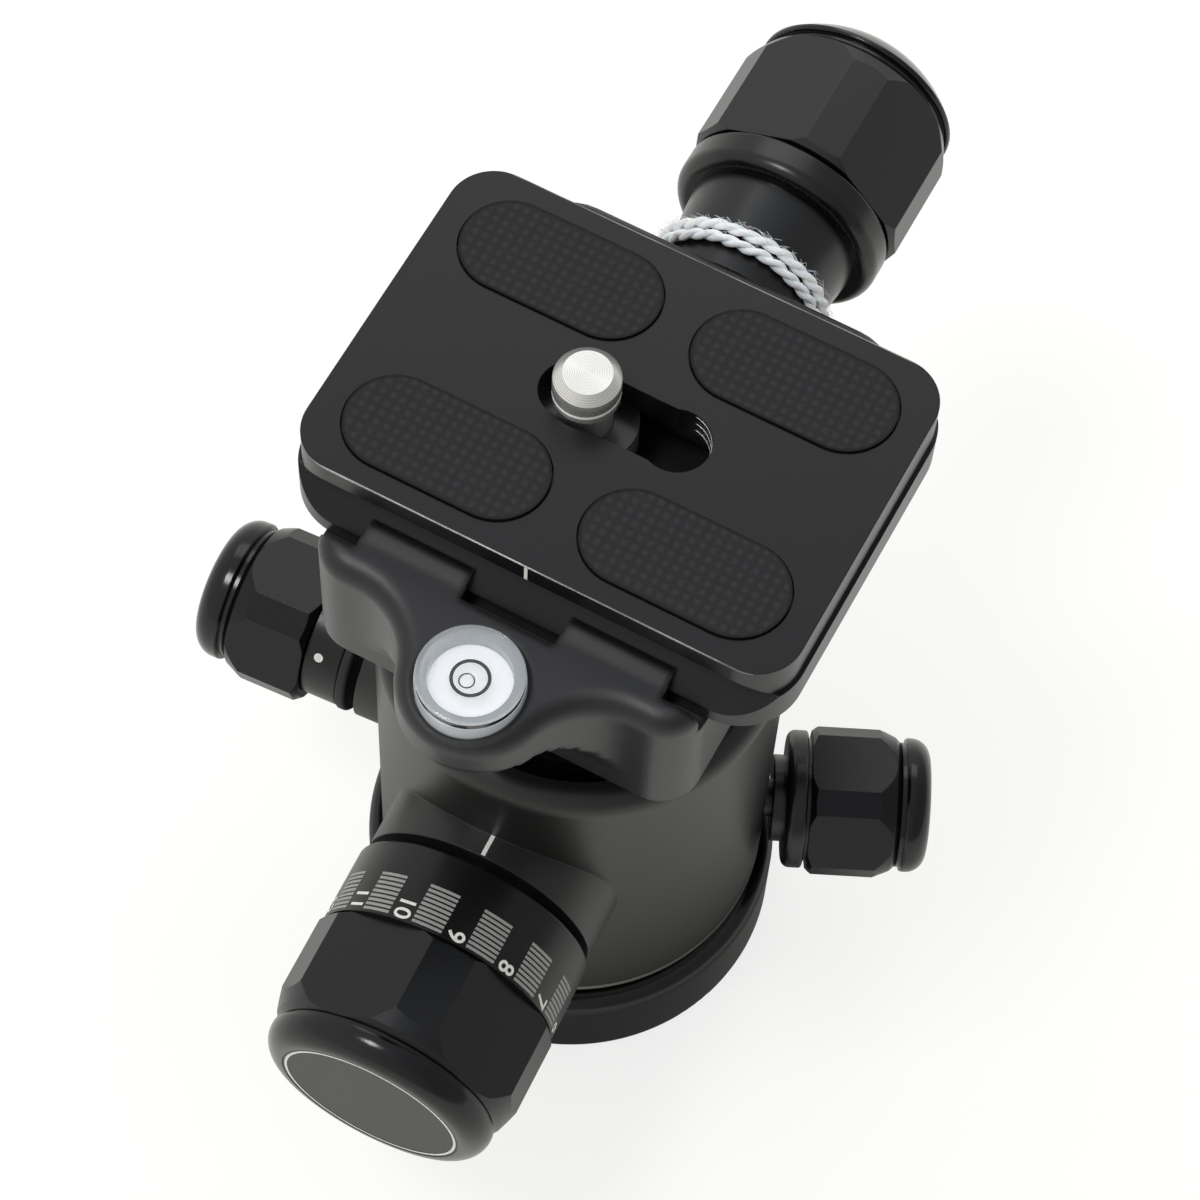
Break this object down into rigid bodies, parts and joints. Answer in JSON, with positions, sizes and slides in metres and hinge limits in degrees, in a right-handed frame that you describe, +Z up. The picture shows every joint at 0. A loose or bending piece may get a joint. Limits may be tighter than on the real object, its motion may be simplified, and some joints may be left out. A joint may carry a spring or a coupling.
{
  "type": "tripod ball head",
  "caption": "Compact camera ball head with a panning base, lock, friction and pan knobs, and a screw clamp that holds a quick-release plate.",
  "frame": {"origin": "centre of the tapped hole in the underside of the pan base, on the surface that the head stands on", "axes": "+X along the plate's long side, +Y towards the clamp's knob, +Z up"},
  "size_m": [0.0774, 0.1073, 0.0965],
  "materials": {
    "base_black": "black anodised, satin",
    "housing_grey": "dark grey anodised, satin, with a polished chamfer at the foot",
    "raw_aluminium": "plain turned",
    "plain_steel": "turned steel",
    "bright_steel": "bright nickel-plated steel",
    "black_liner": "black low-friction plastic",
    "pale_liner": "pale low-friction plastic",
    "ball_metal": "hard anodised, fine satin",
    "dial_black": "black anodised with grey printed dial",
    "grip_black": "black anodised, milled flats",
    "cap_black": "black anodised, semi-gloss",
    "disc_grey": "grey anodised with a printed ring",
    "seal_rubber": "black rubber",
    "collar_black": "black anodised, satin",
    "ring_black": "black anodised, semi-gloss",
    "clamp_black": "black anodised, satin",
    "plate_black": "dark anodised, fine satin",
    "pad_rubber": "dark rubber with a fine square weave",
    "white_string": "soft twisted cotton string",
    "level_clear": "clear plastic vial",
    "level_white": "white disc with a black ring",
    "level_glass": "clear domed lens"
  },
  "bodies": {
    "base": {"pan_base": "base_black", "thread_bush": "plain_steel", "spindle_retainer": "plain_steel", "retainer_screws": "plain_steel"},
    "housing": {"friction_washer": "black_liner", "housing": "housing_grey", "spindle_insert": "raw_aluminium", "cup_spring": "plain_steel"},
    "cup": {"ball_cup": "pale_liner"},
    "ball": {"ball": "ball_metal"},
    "brake_shoe": {"brake_shoe": "pale_liner"},
    "main_knob": {"main_shaft": "plain_steel", "dial_sleeve": "dial_black", "main_grip": "grip_black", "main_cap": "cap_black", "main_cap_disc": "disc_grey"},
    "friction_plug": {"friction_plug": "pale_liner"},
    "friction_knob": {"friction_shaft": "plain_steel", "friction_seal": "seal_rubber", "friction_collar": "collar_black", "friction_grip": "grip_black", "friction_cap": "cap_black"},
    "pan_pad": {"pan_brake_pad": "pale_liner"},
    "pan_knob": {"pan_shaft": "plain_steel", "pan_ring": "ring_black", "pan_grip": "grip_black", "pan_cap": "cap_black"},
    "clamp": {"clamp_body": "clamp_black", "neck_screw": "plain_steel", "guide_pins": "plain_steel", "jaw_springs": "plain_steel", "level_cup": "level_clear", "level_disc": "level_white", "level_lens": "level_glass"},
    "jaw": {"moving_jaw": "clamp_black"},
    "clamp_knob": {"clamp_screw": "plain_steel", "clamp_neck": "collar_black", "clamp_ring": "ring_black", "clamp_grip": "grip_black", "clamp_cap": "cap_black", "tag_string": "white_string"},
    "plate": {"plate": "plate_black", "plate_pads": "pad_rubber", "stop_screws": "plain_steel"},
    "screw_washer": {"camera_washer": "pale_liner"},
    "camera_screw": {"camera_screw": "bright_steel"}
  },
  "joints": [
    {"name": "pan", "type": "hinge", "parent": "base", "child": "housing", "pos_m": [0, 0, 0.0122], "axis": [0, 0, 1], "continuous": true},
    {"name": "ball_swing", "type": "hinge", "parent": "housing", "child": "cup", "pos_m": [0, 0, 0.045], "axis": [0, 0, 1], "range_deg": [-360, 360]},
    {"name": "ball_tilt", "type": "hinge", "parent": "cup", "child": "ball", "pos_m": [0, 0, 0.045], "axis": [-0.9397, -0.342, 0], "range_deg": [-28, 90]},
    {"name": "ball_spin", "type": "hinge", "parent": "ball", "child": "clamp", "pos_m": [0, 0, 0.0698], "axis": [0, 0, 1], "continuous": true},
    {"name": "shoe_slide", "type": "slide", "parent": "housing", "child": "brake_shoe", "axis": [0.0436, -0.999, 0], "range_m": [0, 0.0013]},
    {"name": "main_turn", "type": "hinge", "parent": "brake_shoe", "child": "main_knob", "pos_m": [0.00131, -0.02997, 0.0366], "axis": [0.0436, -0.999, 0], "range_deg": [0, 360]},
    {"name": "plug_slide", "type": "slide", "parent": "housing", "child": "friction_plug", "axis": [-0.9976, -0.0698, 0], "range_m": [0, 0.0008]},
    {"name": "friction_turn", "type": "hinge", "parent": "friction_plug", "child": "friction_knob", "pos_m": [-0.02993, -0.00209, 0.0338], "axis": [-0.9976, -0.0698, 0], "range_deg": [0, 270]},
    {"name": "pad_slide", "type": "slide", "parent": "housing", "child": "pan_pad", "axis": [0.9033, 0.4289, 0], "range_m": [0, 0.0008]},
    {"name": "pan_lock_turn", "type": "hinge", "parent": "pan_pad", "child": "pan_knob", "pos_m": [0.0271, 0.01287, 0.0201], "axis": [0.9033, 0.4289, 0], "range_deg": [0, 270]},
    {"name": "jaw_slide", "type": "slide", "parent": "clamp", "child": "jaw", "axis": [0, 1, 0], "range_m": [0, 0.00405], "deforming": ["jaw_springs"]},
    {"name": "clamp_turn", "type": "hinge", "parent": "jaw", "child": "clamp_knob", "pos_m": [0, 0.04, 0.077], "axis": [0, 1, 0], "range_deg": [0, 1440]},
    {"name": "plate_slide", "type": "slide", "parent": "clamp", "child": "plate", "axis": [1, 0, 0], "range_m": [-0.0022, 0.0014]},
    {"name": "screw_slide", "type": "slide", "parent": "plate", "child": "screw_washer", "axis": [1, 0, 0], "range_m": [-0.0015, 0.0085]},
    {"name": "camera_turn", "type": "hinge", "parent": "screw_washer", "child": "camera_screw", "pos_m": [-0.0032, 0.00475, 0.094], "axis": [0, 0, 1], "continuous": true}
  ],
  "couplings": [
    {"joint": "shoe_slide", "follows": "main_turn", "m_per_rad": 0.00019894},
    {"joint": "plug_slide", "follows": "friction_turn", "m_per_rad": 0.00015915},
    {"joint": "pad_slide", "follows": "pan_lock_turn", "m_per_rad": 0.00015915},
    {"joint": "jaw_slide", "follows": "clamp_turn", "m_per_rad": 0.00015915}
  ]
}
